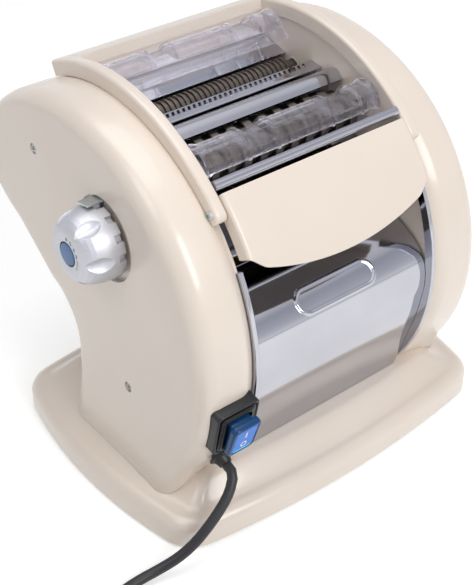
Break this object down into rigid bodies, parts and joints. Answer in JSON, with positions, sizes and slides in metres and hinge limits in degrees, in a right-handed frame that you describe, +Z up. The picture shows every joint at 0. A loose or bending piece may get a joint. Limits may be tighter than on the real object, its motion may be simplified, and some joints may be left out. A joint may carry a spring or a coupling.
{
  "type": "electric pasta maker",
  "caption": "Cream enamelled electric pasta maker with smooth rollers and two pairs of cutters under clear guards, a gap knob, a rocker switch and a coiled mains cord.",
  "frame": {"origin": "on the floor, below the middle of the machine's own box without its cord", "axes": "+X to the machine's right-hand cheek, away from the knob; -Y to the front, where the pasta comes out; +Z up"},
  "size_m": [0.4496, 0.4096, 0.2767],
  "materials": {
    "cream_enamel": "glossy baked cream enamel over pressed and cast metal",
    "plain_steel": "plain cold-rolled sheet steel",
    "gear_steel": "machined steel with a thin film of grease",
    "black_rubber": "moulded black rubber",
    "bright_chrome": "bright chrome plate on sheet steel",
    "roller_steel": "ground and plated steel",
    "screw_zinc": "zinc-plated steel",
    "motor_grey": "grey painted steel can and die-cast case",
    "white_nylon": "natural nylon moulding",
    "yoke_brass": "cast brass bearing yoke",
    "satin_silver": "satin silver lacquer on a moulded knob",
    "blue_plastic": "glossy blue moulded plastic",
    "clear_plastic": "clear moulded plastic",
    "black_plastic": "black moulded plastic",
    "cord_sheath": "black flexible sheath"
  },
  "bodies": {
    "machine": {"base_shell": "cream_enamel", "base_plate": "plain_steel", "rubber_foot_left": "black_rubber", "rubber_foot_right": "black_rubber", "left_cheek": "cream_enamel", "right_cheek": "cream_enamel", "left_side_plate": "cream_enamel", "right_side_plate": "cream_enamel", "left_trim": "bright_chrome", "right_trim": "bright_chrome", "top_frame": "cream_enamel", "frame_screw_left": "screw_zinc", "frame_screw_right": "screw_zinc", "cheek_screw_left_upper": "screw_zinc", "cheek_screw_right_upper": "screw_zinc", "cheek_screw_left_lower": "screw_zinc", "cheek_screw_right_lower": "screw_zinc", "front_visor": "cream_enamel", "rear_cover": "bright_chrome", "front_plate": "bright_chrome", "front_deck": "bright_chrome", "centre_hood": "bright_chrome", "scraper_comb": "bright_chrome", "rear_guide": "bright_chrome", "front_guide": "bright_chrome", "pasta_tray": "bright_chrome", "tie_rod_upper": "plain_steel", "tie_rod_lower": "plain_steel", "left_plate_bracket": "plain_steel", "right_plate_bracket": "plain_steel", "motor": "motor_grey", "motor_mount": "plain_steel", "gearbox": "motor_grey", "left_bearing_plate": "white_nylon", "right_bearing_plate": "white_nylon", "index_clip": "screw_zinc", "switch_bezel": "black_plastic", "cord_gland": "black_plastic", "cord_lead": "cord_sheath", "cord_coil": "cord_sheath", "cord_tie": "black_rubber", "plug": "black_plastic"},
    "roller_a": {"roller_a": "roller_steel", "main_gear": "gear_steel"},
    "roller_carriage": {"roller_yoke": "yoke_brass"},
    "roller_b": {"roller_b": "roller_steel", "roller_b_gear": "gear_steel"},
    "fine_cutter_rear": {"fine_cutter_rear": "roller_steel"},
    "fine_cutter_front": {"fine_cutter_front": "roller_steel"},
    "wide_cutter_rear": {"wide_cutter_rear": "roller_steel"},
    "wide_cutter_front": {"wide_cutter_front": "roller_steel"},
    "large_idler": {"large_idler": "gear_steel"},
    "small_idler": {"small_idler": "gear_steel"},
    "drive_pinion": {"drive_pinion": "gear_steel"},
    "knob_drive": {"knob_hub": "gear_steel"},
    "knob": {"knob": "satin_silver", "knob_button": "blue_plastic"},
    "front_guard": {"front_guard": "clear_plastic"},
    "rear_guard": {"rear_guard": "clear_plastic"},
    "rocker": {"rocker": "blue_plastic"}
  },
  "joints": [
    {"name": "roller_a_turn", "type": "hinge", "parent": "machine", "child": "roller_a", "pos_m": [0, 0.01029, 0.1926], "axis": [1, 0, 0], "continuous": true},
    {"name": "roller_gap", "type": "slide", "parent": "machine", "child": "roller_carriage", "axis": [0, -1, 0], "range_m": [0, 0.0026]},
    {"name": "roller_b_turn", "type": "hinge", "parent": "roller_carriage", "child": "roller_b", "pos_m": [0, -0.01671, 0.1926], "axis": [1, 0, 0], "continuous": true},
    {"name": "large_idler_turn", "type": "hinge", "parent": "machine", "child": "large_idler", "pos_m": [0, 0.03539, 0.20671], "axis": [1, 0, 0], "continuous": true},
    {"name": "fine_cutter_rear_turn", "type": "hinge", "parent": "machine", "child": "fine_cutter_rear", "pos_m": [0, 0.03479, 0.231], "axis": [1, 0, 0], "continuous": true},
    {"name": "fine_cutter_front_turn", "type": "hinge", "parent": "machine", "child": "fine_cutter_front", "pos_m": [0, 0.01679, 0.231], "axis": [1, 0, 0], "continuous": true},
    {"name": "small_idler_turn", "type": "hinge", "parent": "machine", "child": "small_idler", "pos_m": [0, 0.00007, 0.22039], "axis": [1, 0, 0], "continuous": true},
    {"name": "wide_cutter_rear_turn", "type": "hinge", "parent": "machine", "child": "wide_cutter_rear", "pos_m": [0, -0.01821, 0.228], "axis": [1, 0, 0], "continuous": true},
    {"name": "wide_cutter_front_turn", "type": "hinge", "parent": "machine", "child": "wide_cutter_front", "pos_m": [0, -0.03621, 0.228], "axis": [1, 0, 0], "continuous": true},
    {"name": "drive_pinion_turn", "type": "hinge", "parent": "machine", "child": "drive_pinion", "pos_m": [0, -0.01128, 0.14972], "axis": [1, 0, 0], "continuous": true},
    {"name": "knob_turn", "type": "hinge", "parent": "machine", "child": "knob_drive", "pos_m": [0, -0.01671, 0.1926], "axis": [1, 0, 0], "range_deg": [0, 300]},
    {"name": "knob_pull", "type": "slide", "parent": "knob_drive", "child": "knob", "axis": [-1, 0, 0], "range_m": [0, 0.004], "stiffness_N_per_m": 300},
    {"name": "rear_guard_turn", "type": "hinge", "parent": "machine", "child": "rear_guard", "pos_m": [0, 0.05179, 0.256], "axis": [-1, 0, 0], "range_deg": [0, 95]},
    {"name": "front_guard_turn", "type": "hinge", "parent": "machine", "child": "front_guard", "pos_m": [0, -0.04621, 0.24], "axis": [1, 0, 0], "range_deg": [0, 65]},
    {"name": "rocker_turn", "type": "hinge", "parent": "machine", "child": "rocker", "pos_m": [-0.0985, -0.1133, 0.0963], "axis": [-1, 0, 0], "range_deg": [0, 14]}
  ],
  "couplings": [
    {"joint": "roller_b_turn", "follows": "roller_a_turn", "ratio": -1},
    {"joint": "large_idler_turn", "follows": "roller_a_turn", "ratio": -0.88235},
    {"joint": "fine_cutter_rear_turn", "follows": "roller_a_turn", "ratio": 1.5},
    {"joint": "fine_cutter_front_turn", "follows": "roller_a_turn", "ratio": -1.5},
    {"joint": "small_idler_turn", "follows": "roller_a_turn", "ratio": 1.25},
    {"joint": "wide_cutter_rear_turn", "follows": "roller_a_turn", "ratio": -1.5},
    {"joint": "wide_cutter_front_turn", "follows": "roller_a_turn", "ratio": 1.5},
    {"joint": "drive_pinion_turn", "follows": "roller_a_turn", "ratio": -3},
    {"joint": "knob_turn", "follows": "roller_gap", "rad_per_m": 2013.8}
  ]
}
